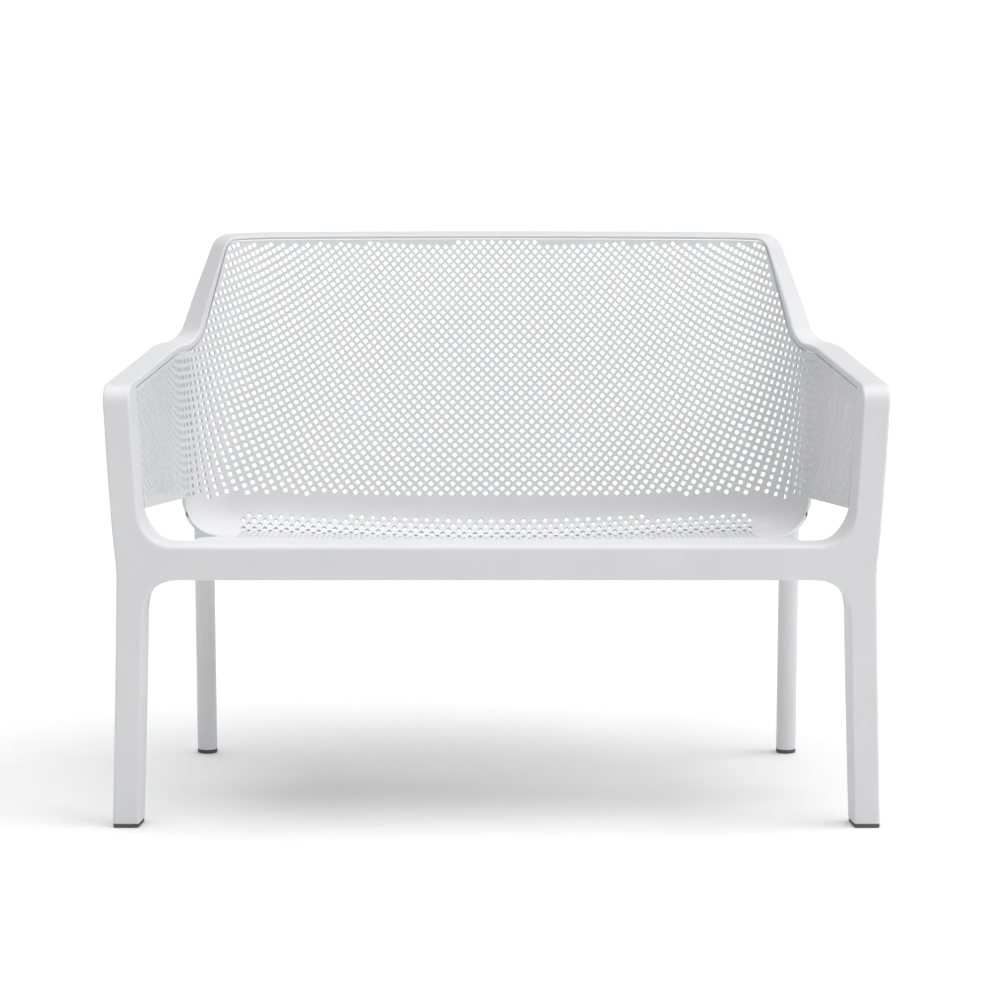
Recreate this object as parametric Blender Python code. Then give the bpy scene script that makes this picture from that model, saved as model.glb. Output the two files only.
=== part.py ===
"""Two-seat garden bench, moulded in white plastic with four grey foot caps.

Lengths are metres. X runs across the bench, -Y is the front that the sitter's
knees point to, and Z is up. Every shape is worked out with Y measured back
from the front face of the legs; one parent empty then centres the bench.
"""
import math

import bmesh
import bpy
from mathutils import Vector

# Overall size
WIDTH = 1.160                # over both arms
DEPTH = 0.636                # from the front legs to the rear legs' feet and the rim
HEIGHT = 0.800
GAP = 0.0003                 # clearance between neighbouring members
SEAT_GAP = 0.0015            # clearance between the seat and the bend
LEG_GAP = 0.0010             # clearance between the shell's corner and a rear leg
PANEL_GAP = 0.0022           # clearance between the curved shell and the band over it

# Perforated shell: back wall, side walls and seat
SKIN = 0.0045                # thickness of the shell
WALL_LOW_Z = 0.415           # level at which the back wall starts to bend into the seat
BACK_LOW_Y = 0.468           # inner face of the back wall at that level
BACK_TOP_Y = 0.598           # inner face of the back wall at the top rim
CORNER_LOW_X = 0.402         # where the flat back ends and the rear corner begins, low down
CORNER_HIGH_X = 0.370        # and at arm level
CORNER_LOW_RADIUS = 0.076
CORNER_HIGH_RADIUS = 0.130
BACK_HOLLOW = 0.010          # how far the flat back bows rearwards at its middle
SIDE_FRONT_X = WIDTH / 2.0 - 0.0365    # inner face of the side wall at the front, at arm level
SIDE_LEAN = 0.075            # sideways lean of the side wall for each metre of height
LEG_DEPTH = 0.060            # the side wall starts behind the front leg
WINDOW_REAR_Y = 0.372        # rear end of the open window under the side wall
WINDOW_TOP_FRONT_Z = 0.474   # lower edge of the side wall, at its front end
WINDOW_TOP_REAR_Z = 0.428    # and at its rear end
WINDOW_SWEEP = 0.070         # how far its rear edge sweeps forward as it meets the seat
SWEEP_START = 0.2            # share of the bend at which that sweep begins
SWEEP_FALLOFF = 9            # power by which the sweep dies away from the window's edge
BEND_BACK = 0.046            # how far the bend from the wall runs into the seat at the back
BEND_SIDE = 0.064            # and at the sides

# Rim band: arms and the top edge of the back
BAND_WIDTH = 0.040
BAND_LIP = 0.002             # the band stands proud of the wall's inner face
BAND_THICK = 0.012
BAND_CORNER = 0.003          # rounding of the band's edges
BAND_STEP = 0.004            # step over which the band's direction is taken
ARM_FRONT_Z = 0.668
ARM_REAR_Z = 0.650
RISE_LOW_U = 0.477           # the rim climbs between these two distances round the wall
RISE_HIGH_U = 0.4215
ARM_SPLIT_U = 0.505          # where an arm ends and the back's rim begins
RISE_LOW_RADIUS = 0.034
RISE_HIGH_RADIUS = 0.024

# Front legs and front beam
KNEE_RADIUS = 0.030
LEG_EDGE = 0.004             # rounding of the legs' edges
LEG_WIDTH = 0.038            # at the floor; the leg is as wide as the band at the arm
FOOT_DEPTH = 0.044
LEG_FOOT_X = 0.5713          # outer face of the leg at the floor
LEG_WAIST_X = 0.5623         # and at the beam
LEG_WAIST_Z = 0.395
BEAM_LOW_Z = 0.3765
BEAM_HIGH_Z = 0.429
BEAM_DEPTH = 0.040
BEAM_FILLET = 0.050          # where the beam runs into a leg, on its front face
BEAM_REAR_FILLET = 0.036
BEAM_EDGE = 0.009            # rounding along the beam's top front edge
BEAM_EDGE_DEPTH = 0.0108     # how far back that rounding runs
BEAM_UNDER_SHARE = 0.2       # the lower edge is rounded by this share of it

# Seat
SEAT_FRONT_Z = BEAM_HIGH_Z
SEAT_CREST_Y = 0.065         # the seat is level this far back, then falls
SEAT_CREST_SOFT = 0.012
SEAT_FALL = 0.162            # how steeply the seat falls towards the back
SEAT_DISH = 0.015            # dip of the seat between its sides
SEAT_DISH_RUN = 0.150        # distance behind the crest over which the dip grows
SEAT_EDGE_DROP = 0.008       # the seat's side edges turn down by this much
SEAT_EDGE_RUN = 0.250        # distance behind the crest over which they do
SEAT_EDGE_POWER = 8          # how close to the edge they turn
SEAT_SIDE_HALF = 0.420       # half width of the seat beside the windows
SEAT_FRONT_HALF = 0.452      # half width of the seat where it meets the beam
SEAT_NECK = 4                # power by which it narrows behind the beam

# Rear legs and the hidden frame under the seat
REAR_LEG_X = 0.451
REAR_LEG_TOP_Y = 0.430
REAR_LEG_FOOT_Y = 0.496
REAR_LEG_RADIUS = 0.0152
REAR_LEG_TOP_Z = 0.420       # before the shell's corner cuts it
CUTTER_SIDE = 0.030          # how far the block that cuts it reaches into the corner
CUTTER_RISE = 0.120          # and above it
RAIL_X = 0.402               # outer face of the rails under the seat's sides
RAIL_WIDTH = 0.014
RAIL_HEIGHT = 0.034
RAIL_CLEAR = 0.0013          # between a rail and the seat, or a rear leg and the rear beam
REAR_BEAM_Y = 0.404          # its front face
REAR_BEAM_DEPTH = 0.016
REAR_BEAM_LOW_Z = 0.333
BEAM_CLEAR = 0.003           # under the curved seat

# Foot caps
CAP_HEIGHT = 0.006
CAP_EDGE = 0.0012            # chamfer round a cap's foot

WHITE = (0.80, 0.80, 0.81)
CAP_GREY = (0.11, 0.105, 0.105)


def clear_scene():
    """Remove every object that the file starts with."""
    for old in list(bpy.data.objects):
        bpy.data.objects.remove(old, do_unlink=True)


def plastic(name, colour, roughness):
    """Plain moulded plastic."""
    material = bpy.data.materials.new(name)
    material.use_nodes = True
    shader = material.node_tree.nodes["Principled BSDF"]
    shader.inputs["Base Color"].default_value = (*colour, 1.0)
    shader.inputs["Roughness"].default_value = roughness
    shader.inputs["Metallic"].default_value = 0.0
    return material


def mix(a, b, share):
    """Value a share of the way from a to b."""
    return a + (b - a) * share


def add_solid(name, verts, faces, material, parent, smooth_angle=35.0):
    """Make one closed solid and turn its faces outwards."""
    mesh = bpy.data.meshes.new(name)
    mesh.from_pydata([tuple(v) for v in verts], [], faces)
    work = bmesh.new()
    work.from_mesh(mesh)
    bmesh.ops.triangulate(work, faces=work.faces)
    bmesh.ops.recalc_face_normals(work, faces=work.faces)
    if work.calc_volume(signed=True) < 0:
        bmesh.ops.reverse_faces(work, faces=work.faces)
    work.to_mesh(mesh)
    work.free()
    if material:
        mesh.materials.append(material)
    mesh.shade_smooth()
    mesh.set_sharp_from_angle(angle=math.radians(smooth_angle))
    piece = bpy.data.objects.new(name, mesh)
    bpy.context.scene.collection.objects.link(piece)
    piece.parent = parent
    return piece


def loft(name, rings, material, parent):
    """Closed solid through a row of rings that all have the same point count."""
    count = len(rings[0])
    verts = [point for ring in rings for point in ring]
    faces = [list(range(count))]
    for low in range(len(rings) - 1):
        for k in range(count):
            nxt = (k + 1) % count
            faces.append([low * count + k, low * count + nxt,
                          (low + 1) * count + nxt, (low + 1) * count + k])
    faces.append([(len(rings) - 1) * count + k for k in range(count)])
    return add_solid(name, verts, faces, material, parent)


def sheet(name, inner, outer, material, parent):
    """Closed sheet between two grids of points, given as rows of equal length."""
    rows = len(inner)
    cols = len(inner[0])
    verts = [p for row in inner for p in row] + [p for row in outer for p in row]
    back = rows * cols
    faces = []
    for r in range(rows - 1):
        for c in range(cols - 1):
            a = r * cols + c
            quad = [a, a + 1, a + cols + 1, a + cols]
            faces.append(quad)
            faces.append([back + k for k in reversed(quad)])
    border = [c for c in range(cols)]
    border += [r * cols + cols - 1 for r in range(1, rows)]
    border += [(rows - 1) * cols + c for c in range(cols - 2, -1, -1)]
    border += [r * cols for r in range(rows - 2, 0, -1)]
    for k, here in enumerate(border):
        there = border[(k + 1) % len(border)]
        faces.append([here, back + here, back + there, there])
    return add_solid(name, verts, faces, material, parent)


def rounded(outline, radii, steps=6):
    """Round the corners of an open 2-D outline; radii has one entry a point."""
    result = []
    last = len(outline) - 1
    for k, point in enumerate(outline):
        corner = Vector(point)
        if k in (0, last) or radii[k] <= 0.0:
            result.append(corner)
            continue
        before = (Vector(outline[k - 1]) - corner).normalized()
        after = (Vector(outline[k + 1]) - corner).normalized()
        half = before.angle(after) / 2.0
        reach = radii[k] / math.tan(half)
        centre = corner + (before + after).normalized() * (radii[k] / math.sin(half))
        start = corner + before * reach - centre
        turn = start.angle_signed(corner + after * reach - centre)
        for s in range(steps + 1):
            angle = -turn * s / steps
            spun = Vector((start.x * math.cos(angle) - start.y * math.sin(angle),
                           start.x * math.sin(angle) + start.y * math.cos(angle)))
            result.append(centre + spun)
    return result


# ---- Inner face of the wall: a plan curve for each level, walked by distance ----

def back_y(z):
    """Inner face of the back wall at the middle, leaning rearwards as it rises."""
    share = (z - WALL_LOW_Z) / (HEIGHT - WALL_LOW_Z)
    return mix(BACK_LOW_Y, BACK_TOP_Y, share)


def side_front_x(z):
    """Inner face of the side wall at the very front for a level."""
    return SIDE_FRONT_X - (ARM_FRONT_Z - z) * SIDE_LEAN


def corner_size(z):
    """Where the rear corner begins and its radius: the corner opens out as it rises."""
    share = (z - WALL_LOW_Z) / (ARM_REAR_Z - WALL_LOW_Z)
    return mix(CORNER_LOW_X, CORNER_HIGH_X, share), mix(CORNER_LOW_RADIUS, CORNER_HIGH_RADIUS, share)


def wall_frame(z):
    """Half width of the flat back, corner centre and radius, and the arc's two angles."""
    flat, radius = corner_size(z)
    start = math.pi / 2.0 - math.atan(2.0 * BACK_HOLLOW / flat)
    centre_y = back_y(z) - BACK_HOLLOW - radius * math.sin(start)
    centre_x = flat - radius * math.cos(start)
    slope = 0.15
    for _ in range(6):
        end_x = centre_x + radius * math.cos(slope)
        end_y = centre_y + radius * math.sin(slope)
        slope = math.atan2(side_front_x(z) - end_x, end_y)
    return flat, Vector((centre_x, centre_y, z)), radius, start, slope


def wall(u, z):
    """Point and outward normal of the wall's inner face, u metres round from the middle."""
    flat, centre, radius, start, slope = wall_frame(z)
    arc = radius * (start - slope)
    away = abs(u)
    if away <= flat:
        bow = BACK_HOLLOW * (1.0 - (away / flat) ** 2)
        spot = Vector((away, back_y(z) - BACK_HOLLOW + bow, z))
        normal = Vector((2.0 * BACK_HOLLOW * away / flat ** 2, 1.0, 0.0)).normalized()
    elif away <= flat + arc:
        angle = start - (away - flat) / radius
        normal = Vector((math.cos(angle), math.sin(angle), 0.0))
        spot = centre + normal * radius
    else:
        run = away - flat - arc
        normal = Vector((math.cos(slope), math.sin(slope), 0.0))
        spot = centre + normal * radius
        spot += Vector((math.sin(slope), -math.cos(slope), 0.0)) * run
    if u < 0.0:
        spot.x = -spot.x
        normal.x = -normal.x
    return spot, normal


def reach_to(y, z):
    """Distance round the wall from the middle to where its side crosses a depth y."""
    flat, centre, radius, start, slope = wall_frame(z)
    end_y = centre.y + radius * math.sin(slope)
    return flat + radius * (start - slope) + (end_y - y) / math.cos(slope)


def side_x(y, z):
    """Inner face of the straight part of the side wall."""
    return wall(reach_to(y, z), z)[0].x


# ---- The rim that the arms and the top of the back follow, in (distance, level) ----

def rim_line(drop=0.0, front_y=0.0):
    """Half of the rim from the middle to the front, or a line that far below it."""
    corners = [(0.0, HEIGHT), (RISE_HIGH_U, HEIGHT), (RISE_LOW_U, ARM_REAR_Z),
               (reach_to(front_y, ARM_FRONT_Z), ARM_FRONT_Z)]
    line = rounded(corners, [0.0, RISE_HIGH_RADIUS, RISE_LOW_RADIUS, 0.0], 8)
    if drop == 0.0:
        return line
    moved = []
    for k, spot in enumerate(line):
        run = line[min(k + 1, len(line) - 1)] - line[max(k - 1, 0)]
        moved.append(spot + Vector((run.y, -run.x)).normalized() * drop)
    return moved


def level_at(line, u):
    """Level of a rim line at a distance from the middle."""
    away = abs(u)
    for low, high in zip(line, line[1:]):
        if low.x <= away <= high.x:
            return mix(low.y, high.y, (away - low.x) / (high.x - low.x))
    return line[-1].y if away > line[-1].x else line[0].y


def rim_stations(first_u, last_u, sign, spacing=0.012):
    """Points, outward normals and levels along one stretch of one half of the rim."""
    line = rim_line()
    stops = []
    for low, high in zip(line, line[1:]):
        pieces = max(1, round((high - low).length / spacing))
        stops += [low.lerp(high, k / pieces) for k in range(pieces)]
    stops.append(line[-1])
    inside = [s for s in stops if first_u + 0.002 < s.x < last_u - 0.002]
    ends = [Vector((u, level_at(line, u))) for u in (first_u, last_u)]
    return [(s.x * sign, s.y) for s in [ends[0]] + inside + [ends[1]]]


def band_ring(u, z, step, sign):
    """Rounded rectangular section of the rim band at one station."""
    here, normal = wall(u, z)
    line = rim_line()
    before = wall(u - sign * step, level_at(line, abs(u) - step))[0]
    after = wall(u + sign * step, level_at(line, abs(u) + step))[0]
    along = (after - before).normalized()
    normal = (normal - along * normal.dot(along)).normalized()
    inward = normal.cross(along).normalized() * sign
    ring = []
    spots = ((-BAND_LIP, 0.0), (BAND_WIDTH - BAND_LIP, 0.0),
             (BAND_WIDTH - BAND_LIP, BAND_THICK), (-BAND_LIP, BAND_THICK))
    aims = (180.0, 270.0, 0.0, 90.0)
    for (across, deep), aim in zip(spots, aims):
        push_x = BAND_CORNER if across < 0.0 else -BAND_CORNER
        push_y = BAND_CORNER if deep == 0.0 else -BAND_CORNER
        for k in range(3):
            angle = math.radians(aim + 45.0 * k)
            x = across + push_x + BAND_CORNER * math.cos(angle)
            y = deep + push_y + BAND_CORNER * math.sin(angle)
            ring.append(here + normal * x + inward * y)
    return ring, along


def flatten_ring(ring, along, y):
    """Slide a ring's points along the band until they lie in one plane across the bench."""
    return [point + along * ((y - point.y) / along.y) for point in ring]


# ---- Seat surface and the bend that joins it to the wall ----

def seat_level(x, y):
    """Level of the seat's upper face: flat behind the beam, then sloping down rearwards."""
    run = y - SEAT_CREST_Y
    ramp = 0.5 * (run + math.hypot(run, SEAT_CREST_SOFT))
    aside = min(1.0, abs(x) / SEAT_SIDE_HALF)
    grown = 1.0 - (1.0 - min(1.0, ramp / SEAT_DISH_RUN)) ** 2
    dish = SEAT_DISH * (1.0 - aside ** 2) * grown
    turned_down = SEAT_EDGE_DROP * aside ** SEAT_EDGE_POWER * min(1.0, ramp / SEAT_EDGE_RUN)
    return SEAT_FRONT_Z - SEAT_FALL * ramp - dish - turned_down


def bend_points(u_share, steps=7):
    """Bend from the wall down on to the seat, as points and outward normals."""
    points = []
    for k in range(steps + 1):
        t = k / steps
        swept = max(0.0, t - SWEEP_START) / (1.0 - SWEEP_START)
        sweep = WINDOW_SWEEP * swept ** 2 * u_share ** SWEEP_FALLOFF
        low, normal = wall(u_share * reach_to(WINDOW_REAR_Y + GAP, WALL_LOW_Z) + sweep, WALL_LOW_Z)
        bend = mix(BEND_BACK, BEND_SIDE, abs(normal.x))
        inner = low - normal * bend
        inner.z = seat_level(inner.x, inner.y)
        top_z = inner.z + BEND_BACK
        high = wall(u_share * reach_to(WINDOW_REAR_Y + GAP, top_z) + sweep, top_z)[0]
        knee = wall(u_share * reach_to(WINDOW_REAR_Y + GAP, inner.z) + sweep, inner.z)[0]
        spot = high * (1 - t) ** 2 + knee * (2 * t * (1 - t)) + inner * t ** 2
        run = (knee - high) * (2 - 2 * t) + (inner - knee) * (2 * t)
        face = run.cross(normal.cross(Vector((0.0, 0.0, 1.0)))).normalized()
        if face.dot(normal) < 0.0 or (t > 0.5 and face.z > 0.0):
            face = -face
        points.append((spot, face))
    return points


def split_sheet(rows):
    """Inner and outer grids of a shell from rows of (point, outward normal)."""
    inner = [[spot for spot, normal in row] for row in rows]
    outer = [[spot + normal * SKIN for spot, normal in row] for row in rows]
    return inner, outer


def back_shares():
    """Column places from -1 to 1, close together where the rim climbs."""
    stops = [(0.0, 0.64, 8), (0.64, 0.88, 20), (0.88, 1.0, 3)]
    half = [mix(low, high, k / count) for low, high, count in stops for k in range(count)]
    half.append(1.0)
    return [-share for share in reversed(half[1:])] + half


def make_back_panel(material, parent, levels=9):
    """Back wall, both rear corners and the bend into the seat, as one sheet."""
    top_line = rim_line(BAND_THICK + PANEL_GAP)
    stacks = []
    for share in back_shares():
        bend = bend_points(share)
        low_z = bend[0][0].z
        top_z = ARM_REAR_Z
        for _ in range(30):
            found = level_at(top_line, share * reach_to(WINDOW_REAR_Y, top_z))
            top_z = mix(top_z, found, 0.5)
        stack = []
        for k in range(levels):
            z = mix(top_z, low_z, k / levels)
            stack.append(wall(share * reach_to(WINDOW_REAR_Y + GAP, z), z))
        stacks.append(stack + bend)
    rows = [[stack[k] for stack in stacks] for k in range(len(stacks[0]))]
    return sheet("back_panel", *split_sheet(rows), material, parent)


def make_seat_panel(material, parent, steps=12):
    """Dished seat between the beam, the window edges and the bend."""
    front_y = BEAM_DEPTH + GAP
    stacks = []
    for share in back_shares():
        edge = bend_points(share)[-1][0]
        edge = edge - wall(share * reach_to(WINDOW_REAR_Y, WALL_LOW_Z), WALL_LOW_Z)[1] * SEAT_GAP
        stack = []
        for k in range(steps + 1):
            t = k / steps
            y = mix(front_y, edge.y, t)
            x = mix(share * SEAT_FRONT_HALF, edge.x, 1.0 - (1.0 - t) ** SEAT_NECK)
            z = seat_level(x, y) if k < steps else edge.z
            stack.append(Vector((x, y, z)))
        stacks.append(stack)
    inner = [[stack[k] for stack in stacks] for k in range(steps + 1)]
    outer = [[point - Vector((0.0, 0.0, SKIN)) for point in row] for row in inner]
    for c, share in enumerate(back_shares()):
        outer[-1][c] = inner[-1][c] + bend_points(share)[-1][1] * SKIN
    return sheet("seat_panel", inner, outer, material, parent)


def make_side_panel(name, sign, material, parent, columns=10, levels=8):
    """Side wall between the front leg, the arm and the open window."""
    top_line = rim_line(BAND_THICK + PANEL_GAP)
    rows = []
    for r in range(levels + 1):
        row = []
        for c in range(columns + 1):
            y = mix(LEG_DEPTH + GAP, WINDOW_REAR_Y - GAP, c / columns)
            low_z = mix(WINDOW_TOP_FRONT_Z, WINDOW_TOP_REAR_Z, c / columns)
            top_z = level_at(top_line, reach_to(y, ARM_REAR_Z))
            z = mix(low_z, top_z, r / levels)
            row.append(wall(sign * reach_to(y, z), z))
        rows.append(row)
    return sheet(name, *split_sheet(rows), material, parent)


# ---- Rim band: two arms and the top edge of the back ----

def make_arm(name, sign, material, parent):
    """Arm from behind the knee to the foot of the rise up the back."""
    front_u = reach_to(LEG_DEPTH + GAP, ARM_FRONT_Z)
    rings = []
    for u, z in rim_stations(ARM_SPLIT_U, front_u, sign):
        ring, along = band_ring(u, z, BAND_STEP, sign)
        rings.append(ring)
    onwards = (rings[1][0] - rings[0][0]).normalized()
    rings[0] = [point + onwards * GAP for point in rings[0]]
    rings[-1] = flatten_ring(rings[-1], along, LEG_DEPTH + GAP)
    return loft(name, rings, material, parent)


def make_back_rim(material, parent):
    """Band over the top of the back, down both rises to the arms."""
    rings = []
    for u, z in reversed(rim_stations(0.0, ARM_SPLIT_U, -1.0, 0.02)):
        rings.append(band_ring(u, z, BAND_STEP, -1.0)[0])
    for u, z in rim_stations(0.0, ARM_SPLIT_U, 1.0, 0.02)[1:]:
        rings.append(band_ring(u, z, BAND_STEP, 1.0)[0])
    return loft("back_rim", rings, material, parent)


# ---- Front legs, front beam ----

def leg_outer_x(y, z):
    """Outer face of the front leg: widest at the arm, narrowest at the beam."""
    taper = (side_x(0.0, z) - side_x(LEG_DEPTH, z)) * y / LEG_DEPTH
    arm_x = side_x(0.0, ARM_FRONT_Z) + BAND_WIDTH - BAND_LIP
    if z > LEG_WAIST_Z:
        rise = (z - LEG_WAIST_Z) / (ARM_FRONT_Z - LEG_WAIST_Z)
        return mix(LEG_WAIST_X, arm_x, rise ** 0.75) - taper
    return mix(LEG_WAIST_X, LEG_FOOT_X, (1.0 - z / LEG_WAIST_Z) ** 1.15) - taper


def leg_inner_x(y, z):
    """Inner face of the front leg."""
    return leg_outer_x(y, z) - mix(LEG_WIDTH, BAND_WIDTH, min(1.0, max(0.0, z / ARM_FRONT_Z)))


def make_front_leg(name, sign, material, parent):
    """Front leg with the rounded knee that turns it into the arm."""
    top_y = LEG_DEPTH - GAP
    slope = (ARM_FRONT_Z - ARM_REAR_Z) / (reach_to(0.0, ARM_FRONT_Z) - RISE_LOW_U)
    corners = [(0.0, CAP_HEIGHT + GAP), (0.0, ARM_FRONT_Z), (top_y, ARM_FRONT_Z - slope * top_y)]
    front = rounded(corners, [0.0, KNEE_RADIUS, 0.0], 8)
    levels = 14
    low = front[0].y
    high = front[1].y
    column = [Vector((0.0, mix(low, high, k / levels))) for k in range(levels)]
    rear = []
    for k in range(levels + 1):
        z = mix(front[-1].y, low, k / levels)
        share = min(1.0, z / BEAM_LOW_Z)
        rear.append(Vector((mix(FOOT_DEPTH, top_y, share), z)))
    outline = column + front[1:-1] + rear
    rings = []
    for side in (leg_inner_x, leg_outer_x):
        rings.append([Vector((sign * side(p.x, p.y), p.x, p.y)) for p in outline])
    leg = loft(name, rings, material, parent)
    edge = leg.modifiers.new("soft_edges", 'BEVEL')
    edge.width = LEG_EDGE
    edge.segments = 2
    edge.limit_method = 'ANGLE'
    edge.angle_limit = math.radians(50.0)
    return leg


def beam_outline(high_z, low_z, y, radius):
    """Right half of the beam seen from the front, from the middle bottom round to the middle top."""
    points = [(0.0, low_z)]
    for k in range(8):
        angle = math.radians(90.0) * k / 7
        away = radius * (1.0 - math.sin(angle))
        z = low_z - radius * (1.0 - math.cos(angle))
        points.append((leg_inner_x(y, z) - GAP - away, z))
    for k in range(1, 6):
        z = mix(low_z - radius, high_z + radius, k / 6)
        points.append((leg_inner_x(y, z) - GAP, z))
    for k in range(8):
        angle = math.radians(90.0) * (7 - k) / 7
        away = radius * (1.0 - math.sin(angle))
        z = high_z + radius * (1.0 - math.cos(angle))
        points.append((leg_inner_x(y, z) - GAP - away, z))
    points.append((0.0, high_z))
    return points


def make_front_beam(material, parent):
    """Beam across the front, widening into the legs above and below."""
    sections = []
    for share in (0.0, 0.15, 0.5, 1.0):
        sink = BEAM_EDGE * (1.0 - math.sqrt(1.0 - (1.0 - share) ** 2))
        sections.append((share * BEAM_EDGE_DEPTH, sink, BEAM_FILLET))
    sections.append((BEAM_DEPTH, 0.0, BEAM_REAR_FILLET))
    rings = []
    for y, sink, fillet in sections:
        half = beam_outline(BEAM_HIGH_Z - sink, BEAM_LOW_Z + sink * BEAM_UNDER_SHARE, y, fillet)
        mirrored = [(-x, z) for x, z in reversed(half[1:-1])]
        rings.append([Vector((x, y, z)) for x, z in half + mirrored])
    return loft("front_beam", rings, material, parent)


# ---- Rear legs, hidden rails ----

def round_ring(centre, radius, sides=20):
    """Level circle of points."""
    ring = []
    for k in range(sides):
        angle = 2.0 * math.pi * k / sides
        ring.append(centre + Vector((math.cos(angle), math.sin(angle), 0.0)) * radius)
    return ring


def rear_leg_centre(sign, z):
    """Middle of a rear leg at a level."""
    return Vector((sign * REAR_LEG_X, mix(REAR_LEG_FOOT_Y, REAR_LEG_TOP_Y, z / REAR_LEG_TOP_Z), z))


def make_rear_leg(name, sign, material, parent):
    """Round rear leg that splays rearwards."""
    rings = []
    for k in range(6):
        z = mix(CAP_HEIGHT + GAP, REAR_LEG_TOP_Z, k / 5)
        rings.append(round_ring(rear_leg_centre(sign, z), REAR_LEG_RADIUS))
    leg = loft(name, rings, material, parent)
    cut = leg.modifiers.new("under_shell", 'BOOLEAN')
    cut.operation = 'DIFFERENCE'
    cut.solver = 'EXACT'
    cut.object = shell_cutter(sign)
    cut.object.parent = parent
    return leg


def shell_cutter(sign, columns=12, first_share=0.55):
    """Block that fills the inside of one rear corner of the shell, a gap clear of it."""
    rows = []
    for k in range(columns + 1):
        stack = []
        share = sign * mix(first_share, 1.0, k / columns)
        for rise in (0.09, 0.06, 0.03):
            z = WALL_LOW_Z + rise
            stack.append(wall(share * reach_to(WINDOW_REAR_Y, z), z))
        rows.append(stack + bend_points(share))
    push = Vector((-sign * CUTTER_SIDE, -CUTTER_SIDE, CUTTER_RISE))
    near = [[spot + normal * (SKIN + LEG_GAP) for spot, normal in row] for row in rows]
    far = [[spot + push for spot in row] for row in near]
    cutter = sheet("corner_cutter", near, far, None, None)
    cutter.hide_render = True
    cutter.display_type = 'WIRE'
    return cutter


def make_seat_rail(name, sign, material, parent, steps=8):
    """Rail under a side of the seat, from the front beam to the rear beam."""
    rings = []
    for k in range(steps + 1):
        y = mix(BEAM_DEPTH + GAP, REAR_BEAM_Y - GAP, k / steps)
        top_z = seat_level(RAIL_X, y) - SKIN - RAIL_CLEAR
        low_z = mix(top_z - RAIL_HEIGHT, REAR_BEAM_LOW_Z, k / steps)
        ring = []
        for x, z in ((RAIL_X - RAIL_WIDTH, low_z), (RAIL_X, low_z),
                     (RAIL_X, top_z), (RAIL_X - RAIL_WIDTH, top_z)):
            ring.append(Vector((sign * x, y, z)))
        rings.append(ring)
    return loft(name, rings, material, parent)


def make_rear_beam(material, parent, steps=16):
    """Beam across the back of the seat, under the solid bend."""
    half = REAR_LEG_X - REAR_LEG_RADIUS - RAIL_CLEAR
    low_y = REAR_BEAM_Y
    high_y = REAR_BEAM_Y + REAR_BEAM_DEPTH
    rings = []
    for k in range(steps + 1):
        x = mix(-half, half, k / steps)
        top_z = seat_level(x, high_y) - SKIN - BEAM_CLEAR
        rings.append([Vector((x, low_y, REAR_BEAM_LOW_Z)), Vector((x, high_y, REAR_BEAM_LOW_Z)),
                      Vector((x, high_y, top_z)), Vector((x, low_y, top_z))])
    return loft("rear_beam", rings, material, parent)


def make_front_cap(name, sign, material, parent):
    """Flat cap under a front leg."""
    rings = []
    for z, inset in ((0.0, CAP_EDGE), (CAP_EDGE, 0.0), (CAP_HEIGHT, 0.0)):
        corners = [(-inset, inset, 0), (-inset, FOOT_DEPTH - inset, 0),
                   (inset, FOOT_DEPTH - inset, 1), (inset, inset, 1)]
        ring = []
        for push, y, inner in corners:
            side = leg_inner_x if inner else leg_outer_x
            ring.append(Vector((sign * (side(y, 0.0) + push), y, z)))
        rings.append(ring)
    return loft(name, rings, material, parent)


def make_rear_cap(name, sign, material, parent):
    """Round cap under a rear leg."""
    foot = rear_leg_centre(sign, 0.0)
    rings = [round_ring(foot, REAR_LEG_RADIUS - CAP_EDGE)]
    rings.append(round_ring(foot + Vector((0.0, 0.0, CAP_EDGE)), REAR_LEG_RADIUS))
    rings.append(round_ring(foot + Vector((0.0, 0.0, CAP_HEIGHT)), REAR_LEG_RADIUS))
    return loft(name, rings, material, parent)


def make_bench():
    """All members, on a parent that centres the bench over the origin."""
    clear_scene()
    white = plastic("white_plastic", WHITE, 0.45)
    grey = plastic("grey_rubber", CAP_GREY, 0.65)
    bench = bpy.data.objects.new("bench", None)
    bench.location = (0.0, -DEPTH / 2.0, 0.0)
    bpy.context.scene.collection.objects.link(bench)
    make_back_panel(white, bench)
    make_seat_panel(white, bench)
    make_back_rim(white, bench)
    make_front_beam(white, bench)
    make_rear_beam(white, bench)
    for side, sign in (("left", -1.0), ("right", 1.0)):
        make_side_panel("side_panel_" + side, sign, white, bench)
        make_arm("arm_" + side, sign, white, bench)
        make_front_leg("front_leg_" + side, sign, white, bench)
        make_rear_leg("rear_leg_" + side, sign, white, bench)
        make_seat_rail("seat_rail_" + side, sign, white, bench)
        make_front_cap("front_foot_cap_" + side, sign, grey, bench)
        make_rear_cap("rear_foot_cap_" + side, sign, grey, bench)


make_bench()
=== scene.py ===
"""Perforated two-seat garden bench in white plastic, built around its CAD frame.

Lengths are metres. Shapes are worked out with Y measured back from the front
face of the legs, then moved so that the bench stands over the origin.
"""
import math

import bmesh
import bpy
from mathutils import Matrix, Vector
from mathutils.geometry import delaunay_2d_cdt


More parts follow.
